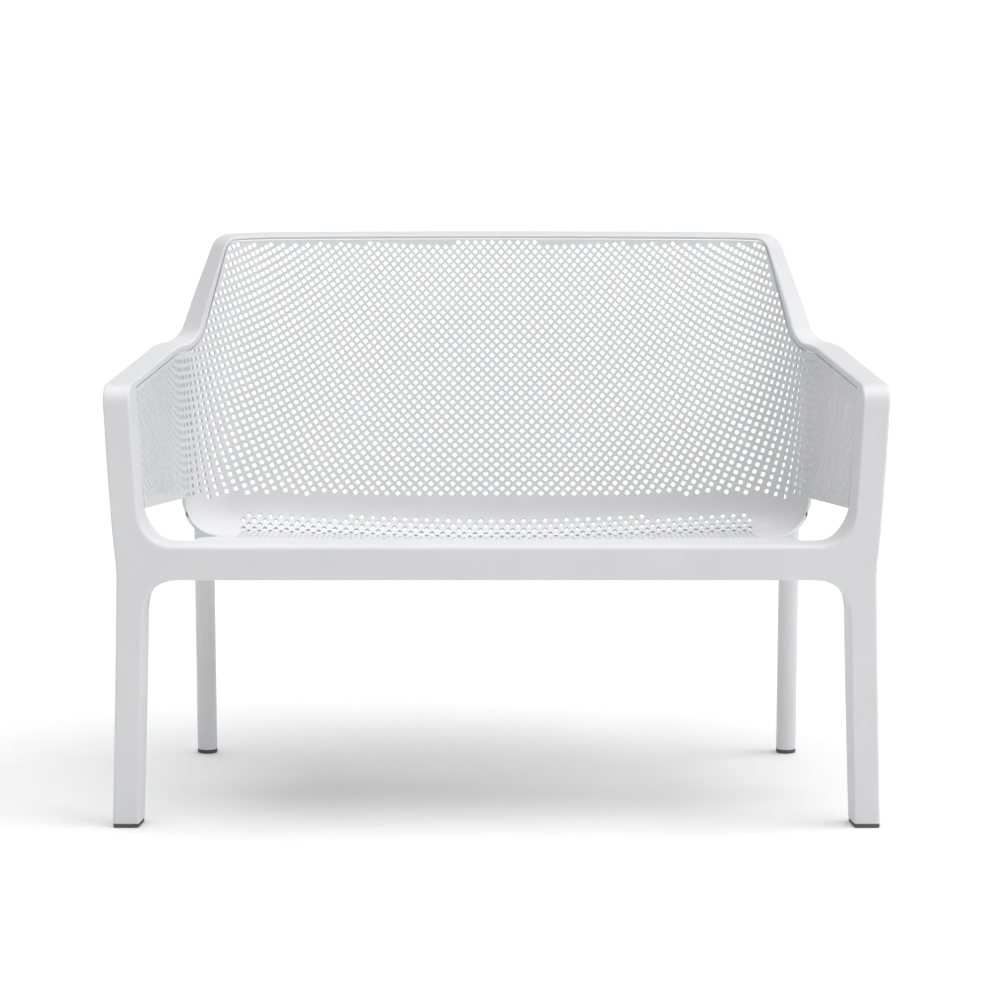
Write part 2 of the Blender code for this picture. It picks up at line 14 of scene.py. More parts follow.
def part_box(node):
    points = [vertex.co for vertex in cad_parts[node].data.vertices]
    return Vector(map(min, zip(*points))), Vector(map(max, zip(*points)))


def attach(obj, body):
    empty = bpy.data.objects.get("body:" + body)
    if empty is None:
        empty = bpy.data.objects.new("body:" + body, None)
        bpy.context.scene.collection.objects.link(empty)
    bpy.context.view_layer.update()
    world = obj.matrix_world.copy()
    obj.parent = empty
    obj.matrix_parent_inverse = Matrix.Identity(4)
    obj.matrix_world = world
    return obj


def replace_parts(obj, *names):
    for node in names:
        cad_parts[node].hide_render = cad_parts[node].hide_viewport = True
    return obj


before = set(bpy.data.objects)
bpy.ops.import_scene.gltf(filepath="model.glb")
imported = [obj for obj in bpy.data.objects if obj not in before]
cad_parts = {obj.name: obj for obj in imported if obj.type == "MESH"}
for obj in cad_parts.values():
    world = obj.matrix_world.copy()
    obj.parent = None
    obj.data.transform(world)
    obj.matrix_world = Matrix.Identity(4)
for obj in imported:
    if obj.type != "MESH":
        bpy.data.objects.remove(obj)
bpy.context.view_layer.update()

# ---- Driving sizes, from the CAD boxes where it has them ----
RIM_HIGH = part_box("back_rim")[1]
HEIGHT = RIM_HIGH.z
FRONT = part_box("front_leg_right")[0].y
CAP_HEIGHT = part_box("front_foot_cap_right")[1].z
GAP = 0.0003                 # clearance between neighbouring members
BAND_WIDTH = 0.040
BAND_LIP = 0.002
SKIN = 0.0045
WALL_LOW_Z = 0.415
BACK_LOW_Y = 0.468
BACK_TOP_Y = RIM_HIGH.y - FRONT - (BAND_WIDTH - BAND_LIP)
CORNER_LOW_X, CORNER_HIGH_X = 0.402, 0.370
CORNER_LOW_RADIUS, CORNER_HIGH_RADIUS = 0.076, 0.130
BACK_HOLLOW = 0.010
SIDE_FRONT_X = 0.5435
SIDE_LEAN = 0.075
LEG_DEPTH = 0.060
WINDOW_REAR_Y = 0.372
WINDOW_TOP_FRONT_Z = 0.474
WINDOW_TOP_REAR_Z = 0.428
WINDOW_SWEEP = 0.070
SWEEP_START = 0.2            # share of the bend at which the window's rear edge sweeps forward
SWEEP_FALLOFF = 9            # power by which that dies away from the window
BEND_BACK = 0.046
BEND_SIDE = 0.064
BAND_THICK = 0.012
BAND_TOP_THICK = 0.006
BAND_STEP = 0.004            # step over which the band's direction is taken
WALL_TUCK = 0.0006           # the wall's sheet stops this far under the band
ARM_FRONT_Z = 0.668
ARM_REAR_Z = 0.650
RISE_LOW_U, RISE_HIGH_U = 0.477, 0.4215
RISE_LOW_RADIUS, RISE_HIGH_RADIUS = 0.034, 0.024
KNEE_RADIUS = 0.030
LEG_WIDTH = 0.038
FOOT_DEPTH = 0.044
LEG_FOOT_X = 0.5713
LEG_WAIST_X = 0.5623
LEG_WAIST_Z = 0.395
BEAM_LOW_Z, BEAM_HIGH_Z = 0.3765, 0.429
BEAM_DEPTH = 0.040
BEAM_FILLET = 0.050
BEAM_STRAIGHT = 0.46         # half length of the beam's straight middle
BEAM_EDGE = 0.009            # rounding along its top front edge
BEAM_LOW_EDGE = 0.0022       # along its lower one
FILLET_EDGE = 0.0024         # and where it turns into the legs
LEG_EDGE = 0.0035
JOIN_Z = 0.600
SEAT_CREST_Y = 0.065
SEAT_CREST_SOFT = 0.012
SEAT_FALL = 0.162
SEAT_DISH = 0.015
SEAT_DISH_RUN = 0.150
SEAT_EDGE_DROP = 0.008
SEAT_EDGE_RUN = 0.250
SEAT_EDGE_POWER = 8
SEAT_SIDE_HALF = 0.420
SEAT_FRONT_HALF = 0.452
SEAT_NECK = 4                # power by which the seat narrows behind the beam
REAR_LEG_X = 0.451
REAR_LEG_TOP_Y, REAR_LEG_FOOT_Y = 0.430, 0.496
REAR_LEG_RADIUS = 0.0152
REAR_LEG_TOP_Z = 0.420
HOLE_SIDE = 0.0066
HOLE_CHAMFER = 0.0011

# How the wall's holes run: the sums of powers below give, for a place on the wall, its
# column number and row number; whole numbers of one parity are holes.
PATTERN_Z = 0.60
PATTERN_SCALE = 5.0
COLUMN_LAW = ((1, (-136.33, -19.55, 3.10)), (3, (-88.56, 43.33, 24.97)), (5, (572.63, -454.45, -127.79)),
              (7, (-754.80, 840.44, 164.27)), (9, (321.28, -445.19, -61.88)))
ROW_LAW = ((0, (0.0, 28.479, 0.152)), (2, (-11.703, -3.187, 14.11)), (4, (-313.25, -171.16, -51.04)),
           (6, (405.11, 292.44, 50.73)), (8, (-167.96, -136.27, -11.48)))


def mix(a, b, share):
    """Value a share of the way from a to b."""
    return a + (b - a) * share


def ease(share):
    """Smooth step from 0 to 1."""
    share = min(1.0, max(0.0, share))
    return share * share * (3.0 - 2.0 * share)


def rounded(outline, radii, steps=6):
    """Round the corners of an open 2-D outline; radii has one entry a point."""
    result = []
    last = len(outline) - 1
    for k, point in enumerate(outline):
        corner = Vector(point)
        if k in (0, last) or radii[k] <= 0.0:
            result.append(corner)
            continue
        before = (Vector(outline[k - 1]) - corner).normalized()
        after = (Vector(outline[k + 1]) - corner).normalized()
        half = before.angle(after) / 2.0
        reach = radii[k] / math.tan(half)
        centre = corner + (before + after).normalized() * (radii[k] / math.sin(half))
        start = corner + before * reach - centre
        turn = start.angle_signed(corner + after * reach - centre)
        for s in range(steps + 1):
            angle = -turn * s / steps
            spun = Vector((start.x * math.cos(angle) - start.y * math.sin(angle),
                           start.x * math.sin(angle) + start.y * math.cos(angle)))
            result.append(centre + spun)
    return result


# ---- Inner face of the wall ----

def back_y(z):
    share = (z - WALL_LOW_Z) / (HEIGHT - WALL_LOW_Z)
    return mix(BACK_LOW_Y, BACK_TOP_Y, share)


def side_front_x(z):
    return SIDE_FRONT_X - (ARM_FRONT_Z - z) * SIDE_LEAN


def corner_size(z):
    share = (z - WALL_LOW_Z) / (ARM_REAR_Z - WALL_LOW_Z)
    return mix(CORNER_LOW_X, CORNER_HIGH_X, share), mix(CORNER_LOW_RADIUS, CORNER_HIGH_RADIUS, share)


frames_at = {}


def wall_frame(z):
    """Half width of the flat back, corner centre and radius, and the arc's two angles."""
    key = round(z, 7)
    if key in frames_at:
        return frames_at[key]
    flat, radius = corner_size(z)
    start = math.pi / 2.0 - math.atan(2.0 * BACK_HOLLOW / flat)
    centre_y = back_y(z) - BACK_HOLLOW - radius * math.sin(start)
    centre_x = flat - radius * math.cos(start)
    slope = 0.15
    for _ in range(6):
        end_x = centre_x + radius * math.cos(slope)
        end_y = centre_y + radius * math.sin(slope)
        slope = math.atan2(side_front_x(z) - end_x, end_y)
    frames_at[key] = (flat, Vector((centre_x, centre_y, z)), radius, start, slope)
    return frames_at[key]


def wall(u, z):
    """Point and outward normal of the wall's inner face, u metres round from the middle."""
    flat, centre, radius, start, slope = wall_frame(z)
    arc = radius * (start - slope)
    away = abs(u)
    if away <= flat:
        bow = BACK_HOLLOW * (1.0 - (away / flat) ** 2)
        spot = Vector((away, back_y(z) - BACK_HOLLOW + bow, z))
        normal = Vector((2.0 * BACK_HOLLOW * away / flat ** 2, 1.0, 0.0)).normalized()
    elif away <= flat + arc:
        angle = start - (away - flat) / radius
        normal = Vector((math.cos(angle), math.sin(angle), 0.0))
        spot = centre + normal * radius
    else:
        run = away - flat - arc
        normal = Vector((math.cos(slope), math.sin(slope), 0.0))
        spot = centre + normal * radius
        spot += Vector((math.sin(slope), -math.cos(slope), 0.0)) * run
    if u < 0.0:
        spot.x = -spot.x
        normal.x = -normal.x
    return spot, normal


def reach_to(y, z):
    """Distance round the wall from the middle to where its side crosses a depth y."""
    flat, centre, radius, start, slope = wall_frame(z)
    end_y = centre.y + radius * math.sin(slope)
    return flat + radius * (start - slope) + (end_y - y) / math.cos(slope)


def side_x(y, z):
    return wall(reach_to(y, z), z)[0].x


def band_thick(z):
    """The rim band is thinner over the back than along the arms."""
    return mix(BAND_THICK, BAND_TOP_THICK, ease((z - ARM_REAR_Z) / (HEIGHT - ARM_REAR_Z)))


def rim_line(extra=None, front_y=0.0):
    """Half of the rim in (distance, level), or the line that far under the band."""
    corners = [(0.0, HEIGHT), (RISE_HIGH_U, HEIGHT), (RISE_LOW_U, ARM_REAR_Z),
               (reach_to(front_y, ARM_FRONT_Z), ARM_FRONT_Z)]
    line = rounded(corners, [0.0, RISE_HIGH_RADIUS, RISE_LOW_RADIUS, 0.0], 12)
    if extra is None:
        return line
    moved = []
    for k, spot in enumerate(line):
        run = line[min(k + 1, len(line) - 1)] - line[max(k - 1, 0)]
        drop = band_thick(spot.y) + extra
        moved.append(spot + Vector((run.y, -run.x)).normalized() * drop)
    return moved


def level_at(line, u):
    """Level of a rim line at a distance from the middle."""
    away = abs(u)
    for low, high in zip(line, line[1:]):
        if low.x <= away <= high.x:
            return mix(low.y, high.y, (away - low.x) / (high.x - low.x))
    return line[-1].y if away > line[-1].x else line[0].y


# ---- Seat and bend ----

def seat_level(x, y):
    """Level of the seat's upper face."""
    run = y - SEAT_CREST_Y
    ramp = 0.5 * (run + math.hypot(run, SEAT_CREST_SOFT))
    aside = min(1.0, abs(x) / SEAT_SIDE_HALF)
    grown = 1.0 - (1.0 - min(1.0, ramp / SEAT_DISH_RUN)) ** 2
    dish = SEAT_DISH * (1.0 - aside ** 2) * grown
    turned_down = SEAT_EDGE_DROP * aside ** SEAT_EDGE_POWER * min(1.0, ramp / SEAT_EDGE_RUN)
    return BEAM_HIGH_Z - SEAT_FALL * ramp - dish - turned_down


# ---- Meshes ----

def finish_mesh(name, verts, faces, material, smooth_angle=35.0, weighted=False):
    """Link one closed mesh, faces outwards, smooth but for its sharp edges."""
    mesh = bpy.data.meshes.new(name)
    mesh.from_pydata([tuple(v) for v in verts], [], faces)
    work = bmesh.new()
    work.from_mesh(mesh)
    bmesh.ops.recalc_face_normals(work, faces=work.faces)
    if work.calc_volume(signed=True) < 0:
        bmesh.ops.reverse_faces(work, faces=work.faces)
    work.to_mesh(mesh)
    work.free()
    mesh.materials.append(material)
    mesh.shade_smooth()
    mesh.set_sharp_from_angle(angle=math.radians(smooth_angle))
    piece = bpy.data.objects.new(name, mesh)
    bpy.context.scene.collection.objects.link(piece)
    for vertex in mesh.vertices:
        vertex.co.y += FRONT
    if weighted:
        even = piece.modifiers.new("even_shading", 'WEIGHTED_NORMAL')
        even.keep_sharp = True
    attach(piece, "root")
    return piece


# ---- Perforated sheet: holes cut in a flat chart, then bent on to the surface ----

def hole_outline(place, along, across):
    """Eight chart points of one square hole with clipped corners."""
    half = HOLE_SIDE / 2.0
    inset = half - HOLE_CHAMFER
    ring = []
    for a, b in ((half, -inset), (half, inset), (inset, half), (-inset, half),
                 (-half, inset), (-half, -inset), (-inset, -half), (inset, -half)):
        ring.append(place + along * a + across * b)
    return ring


def encloses(outline, p):
    """Whether a closed outline runs round a point."""
    inside = False
    for a, b in zip(outline, outline[1:] + outline[:1]):
        if (a.y > p.y) != (b.y > p.y) and p.x < a.x + (b.x - a.x) * (p.y - a.y) / (b.y - a.y):
            inside = not inside
    return inside


def perforated(name, border, holes, spread, surface, material):
    """Closed sheet over a chart region, with a square tunnel at every hole.

    border and spread are (chart point, spot, outward normal): the region's outline, and
    points inside it that help the sheet to follow its curve. holes are rings of chart
    points, and surface gives (spot, outward normal) of one.
    """
    flat = [Vector(p[0]) for p in border]
    known = {k: (p[1], p[2]) for k, p in enumerate(border)}
    edges = [(k, (k + 1) % len(border)) for k in range(len(border))]
    owner = [-1] * len(border)
    for h, ring in enumerate(holes):
        first = len(flat)
        flat += ring
        owner += [h] * len(ring)
        edges += [(first + k, first + (k + 1) % len(ring)) for k in range(len(ring))]
    for p in spread:
        known[len(flat)] = (p[1], p[2])
        flat.append(Vector(p[0]))
        owner.append(-2)
    points, _, triangles, origin, _, _ = delaunay_2d_cdt(flat, edges, [], 1, 1e-7, True)
    source = [min(ids, default=-1) for ids in origin]
    tag = [owner[i] if i >= 0 else -3 for i in source]
    rim = flat[:len(border)]
    kept = []
    for tri in triangles:
        owners = {tag[i] for i in tri}
        if len(owners) == 1 and min(owners) >= 0:
            continue
        if owners == {-1} and not encloses(rim, (points[tri[0]] + points[tri[1]] + points[tri[2]]) / 3.0):
            continue
        kept.append(tri)
    used = sorted({i for tri in kept for i in tri})
    place = {old: new for new, old in enumerate(used)}
    inner = []
    outer = []
    facing = []
    for i in used:
        if source[i] in known:
            spot, normal = known[source[i]]
        else:
            spot, normal = surface(points[i].x, points[i].y)
        inner.append(spot)
        outer.append(spot + normal * SKIN)
        facing.append(normal)
    count = len(used)
    faces = []
    directed = {}
    for tri in kept:
        a, b, c = (place[i] for i in tri)
        faces.append((a, b, c))
        faces.append((count + c, count + b, count + a))
        for p, q in ((a, b), (b, c), (c, a)):
            directed[(p, q)] = True
    for p, q in directed:
        if (q, p) not in directed:
            faces.append((q, p, count + p, count + q))
    print(name, "holes", len(holes), "faces", len(faces))
    piece = finish_mesh(name, inner + outer, faces, material, 35.0)
    mesh = piece.data
    corner_normals = [None] * len(mesh.loops)
    for face in mesh.polygons:
        ids = list(face.vertices)
        front = max(ids) < count
        rear = min(ids) >= count
        for k, i in zip(face.loop_indices, ids):
            if front:
                corner_normals[k] = -facing[i]
            elif rear:
                corner_normals[k] = facing[i - count]
            else:
                corner_normals[k] = face.normal.copy()
    mesh.normals_split_custom_set(corner_normals)
    return piece


def law(terms, away, z):
    """Sum of powers of the distance round the wall and the level, with both slopes."""
    w = (z - PATTERN_Z) * PATTERN_SCALE
    value = slope_u = slope_z = 0.0
    for power, (c0, c1, c2) in terms:
        column = c0 + c1 * w + c2 * w * w
        value += away ** power * column
        slope_u += power * away ** max(power - 1, 0) * column
        slope_z += away ** power * (c1 + 2.0 * c2 * w) * PATTERN_SCALE
    return value, slope_u, slope_z


SIDE_COLUMN = -60            # columns beyond this one can lie on the side walls
SIDE_REACH = 0.56            # distance round the wall at which they begin
GUESS_COLUMNS = 131.25       # columns and rows a metre for the first guess at a hole's place
GUESS_ROWS = 142.0
GUESS_REACH = 0.9
SIDE_GUESSES = (0.62, 0.72, 0.82, 0.92)
SIDE_GUESS_Z = 0.55
LONGEST_STEP = 0.04
LEAST_PITCH = 0.0080         # there, holes closer than this to their neighbours are left out
LEAST_CELL = 0.000075        # and so are those whose cell of the pattern is smaller than this


def solve_place(column, row):
    """Place on the wall of one column and row number, from a few first guesses."""
    z = PATTERN_Z + row / GUESS_ROWS
    first = solve_from(column, row, min(GUESS_REACH, -column / GUESS_COLUMNS), z)
    if first or column > SIDE_COLUMN:
        return first
    for u in SIDE_GUESSES:
        found = solve_from(column, row, u, SIDE_GUESS_Z)
        if found:
            return found
    return None


def solve_from(column, row, u, z):
    """Place on the wall of one column and row number, by Newton steps."""
    for _ in range(25):
        t, tu, tz = law(COLUMN_LAW, u, z)
        s, su, sz = law(ROW_LAW, u, z)
        det = tu * sz - tz * su
        if abs(det) < 1e-6:
            return None
        dt, ds = column - t, row - s
        step_u = (dt * sz - tz * ds) / det
        step_z = (tu * ds - su * dt) / det
        size = math.hypot(step_u, step_z)
        if size > LONGEST_STEP:
            step_u *= LONGEST_STEP / size
            step_z *= LONGEST_STEP / size
        u += step_u
        z += step_z
        if not (-0.05 < u < 1.1 and 0.3 < z < 0.95):
            return None
        if size < 1e-7:
            break
    else:
        return None
    t, tu, tz = law(COLUMN_LAW, u, z)
    s, su, sz = law(ROW_LAW, u, z)
    au, az, bu, bz = (tu + su) / 2, (tz + sz) / 2, (tu - su) / 2, (tz - sz) / 2
    det = au * bz - az * bu
    along = Vector((bz / det, -bu / det))
    across = Vector((-az / det, au / det))
    crowded = min(along.length, across.length) < LEAST_PITCH or abs(1.0 / det) < LEAST_CELL
    if crowded and u > SIDE_REACH:
        return None
    return u, z, along, across


# ---- Wall: back, corners and sides in one sheet ----

BEND_CHART = 0.090           # chart length that stands for the whole bend
SEAM = 0.20                  # share of the bend at which the wall's sheet ends and the seat's begins
SEAM_COLUMNS = 64            # points of half the seam
SEAM_CROWDING = 0.6          # how much they crowd together towards the windows
BASE_REACH = reach_to(WINDOW_REAR_Y, WALL_LOW_Z)
PROBE = 0.0004


def wall_distance(u, z):
    """Real distance round the wall of a chart distance u at a level."""
    edge = reach_to(WINDOW_REAR_Y, z)
    if abs(u) <= BASE_REACH:
        return u * edge / BASE_REACH
    return math.copysign(edge + abs(u) - BASE_REACH, u)


def chart_distance(away, z):
    """Chart distance of a real distance round the wall."""
    edge = reach_to(WINDOW_REAR_Y, z)
    if abs(away) <= edge:
        return away * BASE_REACH / edge
    return math.copysign(abs(away) - edge + BASE_REACH, away)


bend_tops = {}


def bend_top(share):
    """Level at which the bend begins."""
    key = round(min(1.0, abs(share)), 5)
    if key not in bend_tops:
        low, normal = wall(key * BASE_REACH, WALL_LOW_Z)
        inner = low - normal * mix(BEND_BACK, BEND_SIDE, abs(normal.x))
        bend_tops[key] = seat_level(inner.x, inner.y) + BEND_BACK
    return bend_tops[key]


def bend_spot(share, t):
    """Point of the bend, t from 0 at the wall to 1 at the seat."""
    sign = -1.0 if share < 0.0 else 1.0
    swept = max(0.0, t - SWEEP_START) / (1.0 - SWEEP_START)
    sweep = sign * WINDOW_SWEEP * swept ** 2 * abs(share) ** SWEEP_FALLOFF
    low, normal = wall(share * BASE_REACH + sweep, WALL_LOW_Z)
    inner = low - normal * mix(BEND_BACK, BEND_SIDE, abs(normal.x))
    inner.z = seat_level(inner.x, inner.y)
    top_z = inner.z + BEND_BACK
    high = wall(share * reach_to(WINDOW_REAR_Y, top_z) + sweep, top_z)[0]
    knee = wall(share * reach_to(WINDOW_REAR_Y, inner.z) + sweep, inner.z)[0]
    return high * (1 - t) ** 2 + knee * (2 * t * (1 - t)) + inner * t ** 2


def wall_spot(u, v):
    """Point of the wall's sheet for a place on its chart."""
    share = u / BASE_REACH
    top = bend_top(share)
    if v >= top or abs(share) > 1.0:
        return wall(wall_distance(u, v), v)[0]
    return bend_spot(share, (top - v) / BEND_CHART)


def wall_surface(u, v):
    """Point and outward normal of the wall's sheet."""
    spot = wall_spot(u, v)
    run_u = wall_spot(u + PROBE, v) - wall_spot(u - PROBE, v)
    run_v = wall_spot(u, v + PROBE) - wall_spot(u, v - PROBE)
    return spot, run_v.cross(run_u).normalized()


def side_bottom(u):
    """Lower edge of the side wall at a chart distance past the window's rear end."""
    front = chart_distance(reach_to(LEG_DEPTH, WINDOW_TOP_FRONT_Z), WINDOW_TOP_FRONT_Z)
    return mix(WINDOW_TOP_REAR_Z, WINDOW_TOP_FRONT_Z, (abs(u) - BASE_REACH) / (front - BASE_REACH))


def seam_shares():
    """Shares of the way round at which the wall's and the seat's sheets share points."""
    half = []
    for k in range(SEAM_COLUMNS + 1):
        even = k / SEAM_COLUMNS
        half.append(mix(even, math.sin(math.pi / 2.0 * even), SEAM_CROWDING))
    return [-share for share in reversed(half[1:])] + half


def walk(start, end, pieces):
    """Points from start up to, but without, end."""
    a = Vector(start)
    b = Vector(end)
    return [a.lerp(b, k / pieces) for k in range(pieces)]


def wall_border():
    """Outline of the wall's sheet on its chart, from the middle of its foot, anticlockwise."""
    half = [Vector((s * BASE_REACH, bend_top(s) - SEAM * BEND_CHART)) for s in seam_shares() if s >= 0.0]
    corner = half[-1]
    half = half[:-1]
    rear_foot = Vector((BASE_REACH, WINDOW_TOP_REAR_Z))
    half += walk(corner, rear_foot, 8)
    front_low_u = chart_distance(reach_to(LEG_DEPTH, WINDOW_TOP_FRONT_Z), WINDOW_TOP_FRONT_Z)
    front_low = Vector((front_low_u, WINDOW_TOP_FRONT_Z))
    half += walk(rear_foot, front_low, 30)
    top_line = rim_line(WALL_TUCK)
    top_z = level_at(top_line, 2.0)
    levels = 20
    for k in range(levels):
        z = mix(WINDOW_TOP_FRONT_Z, top_z, k / levels)
        half.append(Vector((chart_distance(reach_to(LEG_DEPTH, z), z), z)))
    reach = reach_to(LEG_DEPTH, top_z)
    stations = [mix(reach, top_line[-2].x, k / 24) for k in range(24)]
    for away in stations:
        z = level_at(top_line, away)
        half.append(Vector((chart_distance(away, z), z)))
    for spot in reversed(top_line[:-1]):
        if spot.x <= top_line[-2].x and spot.x > 1e-4:
            half.append(Vector((chart_distance(spot.x, spot.y), spot.y)))
            if spot is top_line[1]:
                for k in range(1, 20):
                    half.append(Vector((chart_distance(spot.x * (1 - k / 20), spot.y), spot.y)))
    half.append(Vector((0.0, top_line[0].y)))
    left = [Vector((-p.x, p.y)) for p in reversed(half[1:-1])]
    return half + left


TOP_MARGIN = 0.0012          # solid strip between the holes and the band
SIDE_MARGIN = 0.0085         # and above the side wall's lower edge
FRONT_MARGIN = 0.004         # and behind the front leg
LOWEST_HOLE = 0.4125


def make_wall(material):
    """Back, corners and side walls with their holes."""
    top_line = rim_line(TOP_MARGIN)
    holes = []
    for row in range(-120, 70):
        for column in range(-130, 1):
            if (row + column) % 2:
                continue
            spot = solve_place(column, row)
            if spot is None:
                continue
            away, z, along, across = spot
            if z < 0.40 or z > HEIGHT:
                continue
            ring = hole_outline(Vector((away, z)), along.normalized(), across.normalized())
            if not all(wall_hole_fits(p, top_line) for p in ring):
                continue
            if column < 0:
                holes.append([Vector((chart_distance(p.x, p.y), p.y)) for p in ring])
            holes.append([Vector((-chart_distance(p.x, p.y), p.y)) for p in reversed(ring)])
    border = [(p, *wall_surface(p.x, p.y)) for p in wall_border()]
    spread = []
    for share in seam_shares()[2:-2:2]:
        for k in range(1, 20):
            v = bend_top(share) - SEAM * BEND_CHART * (1.0 - k / 16.0)
            if v < LOWEST_HOLE - 0.001:
                place = Vector((share * BASE_REACH, v))
                spread.append((place, *wall_surface(place.x, place.y)))
    return perforated("perforated_wall", border, holes, spread, wall_surface, material)


def wall_hole_fits(p, top_line):
    """Whether a corner of a hole at (distance, level) keeps clear of the wall's solid edges."""
    if p.y < LOWEST_HOLE or p.y > level_at(top_line, p.x):
        return False
    u = chart_distance(abs(p.x), p.y)
    if u > BASE_REACH - 0.012 and p.y < side_bottom(max(u, BASE_REACH)) + SIDE_MARGIN:
        return False
    return abs(p.x) < reach_to(LEG_DEPTH, p.y) - FRONT_MARGIN


# ---- Seat, with the lower part of the bend ----

SEAT_PITCH = 0.0166          # holes of one row of the seat
SEAT_ROW = 0.0083            # from one row to the next
SEAT_FIRST_Y = 0.0595        # first row at the middle
SEAT_FRONT_CURVE = 0.074     # how much further back the holes begin at the sides
SEAT_FRONT_POWER = 7.4
SEAT_MARGIN = 0.024
SEAT_SPAN = 0.396


def seat_surface(x, y):
    """Point and outward (downward) normal of the seat where it is a plain graph."""
    z = seat_level(x, y)
    run_x = Vector((2 * PROBE, 0.0, seat_level(x + PROBE, y) - seat_level(x - PROBE, y)))
    run_y = Vector((0.0, 2 * PROBE, seat_level(x, y + PROBE) - seat_level(x, y - PROBE)))
    return Vector((x, y, z)), -run_x.cross(run_y).normalized()


def bend_surface(share, t):
    """Point and outward normal of the bend."""
    spot = bend_spot(share, t)
    low = max(-1.0, share - 0.001)
    high = min(1.0, share + 0.001)
    run_u = bend_spot(high, t) - bend_spot(low, t)
    run_t = bend_spot(share, t + 0.004) - bend_spot(share, t - 0.004)
    return spot, run_u.cross(run_t).normalized()


def seat_edge_y(x):
    """Depth at which the seat turns up into the bend."""
    for low, high in zip(bend_feet, bend_feet[1:]):
        if low.x <= x <= high.x:
            return mix(low.y, high.y, (x - low.x) / (high.x - low.x))
    return bend_feet[0].y if x < 0.0 else bend_feet[-1].y


bend_feet = [bend_spot(share, 1.0) for share in seam_shares()]


def seat_or_bend(x, y):
    """Point and outward normal of the seat's sheet over a plan point."""
    edge = seat_edge_y(x)
    if y <= edge:
        return seat_surface(x, y)
    share = max(-1.0, min(1.0, x / BASE_REACH * 1.08))
    t = max(0.3, 1.0 - (y - edge) / BEND_BACK)
    for _ in range(12):
        spot = bend_spot(share, t)
        by_share = (bend_spot(share + 0.002, t) - spot) / 0.002
        by_t = (bend_spot(share, t + 0.002) - spot) / 0.002
        det = by_share.x * by_t.y - by_t.x * by_share.y
        dx, dy = x - spot.x, y - spot.y
        share += (dx * by_t.y - by_t.x * dy) / det
        t += (by_share.x * dy - dx * by_share.y) / det
        share = max(-1.0, min(1.0, share))
        t = max(0.0, min(1.1, t))
        if abs(dx) + abs(dy) < 1e-7:
            break
    return bend_surface(share, t)


def seat_profile(x, steps=260):
    """(length walked from the beam, depth) along the seat and up the bend at one x."""
    table = []
    length = 0.0
    last = None
    top_y = min(seat_edge_y(x) + 0.042, bend_spot(min(1.0, x / BASE_REACH * 1.05), SEAM).y - 0.001)
    for k in range(steps + 1):
        y = mix(BEAM_DEPTH, top_y, k / steps)
        spot = seat_or_bend(x, y)[0]
        if last is not None:
            length += (spot - last).length
        table.append((length, y, spot.z))
        last = spot
    return table


def make_seat(material):
    """Dished seat with its holes, up to the seam in the bend."""
    border = []
    front_y = BEAM_DEPTH
    shares = seam_shares()
    for k in range(60):
        x = mix(-SEAT_FRONT_HALF, SEAT_FRONT_HALF, k / 60)
        spot, normal = seat_surface(x, front_y)
        border.append((Vector((x, front_y)), spot, normal))
    side = []
    foot = bend_spot(1.0, 1.0)
    steps = 40
    for k in range(steps):
        t = k / steps
        y = mix(front_y, foot.y, t)
        x = mix(SEAT_FRONT_HALF, foot.x, 1.0 - (1.0 - t) ** SEAT_NECK)
        spot, normal = seat_surface(x, y)
        side.append((Vector((x, y)), spot, normal))
    for k in range(12):
        spot, normal = bend_surface(1.0, mix(1.0, SEAM, k / 12))
        side.append((Vector((spot.x, spot.y)), spot, normal))
    border += side
    for share in reversed(shares):
        spot = bend_spot(share, SEAM)
        place = Vector((share * BASE_REACH, bend_top(share) - SEAM * BEND_CHART))
        normal = wall_surface(place.x, place.y)[1]
        border.append((Vector((spot.x, spot.y)), spot, normal))
    for place, spot, normal in reversed(side[1:]):
        border.append((Vector((-place.x, place.y)), Vector((-spot.x, spot.y, spot.z)),
                       Vector((-normal.x, normal.y, normal.z))))
    spread = []
    for share in shares[1:-1:2]:
        for k in range(1, 14):
            t = mix(1.0, SEAM, k / 14)
            spot, normal = bend_surface(share, t)
            spread.append((Vector((spot.x, spot.y)), spot, normal))
    for k in range(1, 60):
        for y in (0.046, 0.054, 0.061, 0.068):
            x = mix(-SEAT_FRONT_HALF, SEAT_FRONT_HALF, k / 60)
            spot, normal = seat_surface(x, y)
            spread.append((Vector((x, y)), spot, normal))
    holes = seat_holes()
    centres = [sum(ring, Vector((0.0, 0.0))) / len(ring) for ring in holes]
    cells = {(round(c.x / 0.02), round(c.y / 0.02)): [] for c in centres}
    for c in centres:
        cells[(round(c.x / 0.02), round(c.y / 0.02))].append(c)
    clear = []
    for entry in spread:
        i, j = round(entry[0].x / 0.02), round(entry[0].y / 0.02)
        near = [c for a in (-1, 0, 1) for b in (-1, 0, 1) for c in cells.get((i + a, j + b), ())]
        if all((c - entry[0]).length > 0.0075 for c in near):
            clear.append(entry)
    return perforated("perforated_seat", border, holes, clear, seat_or_bend, material)


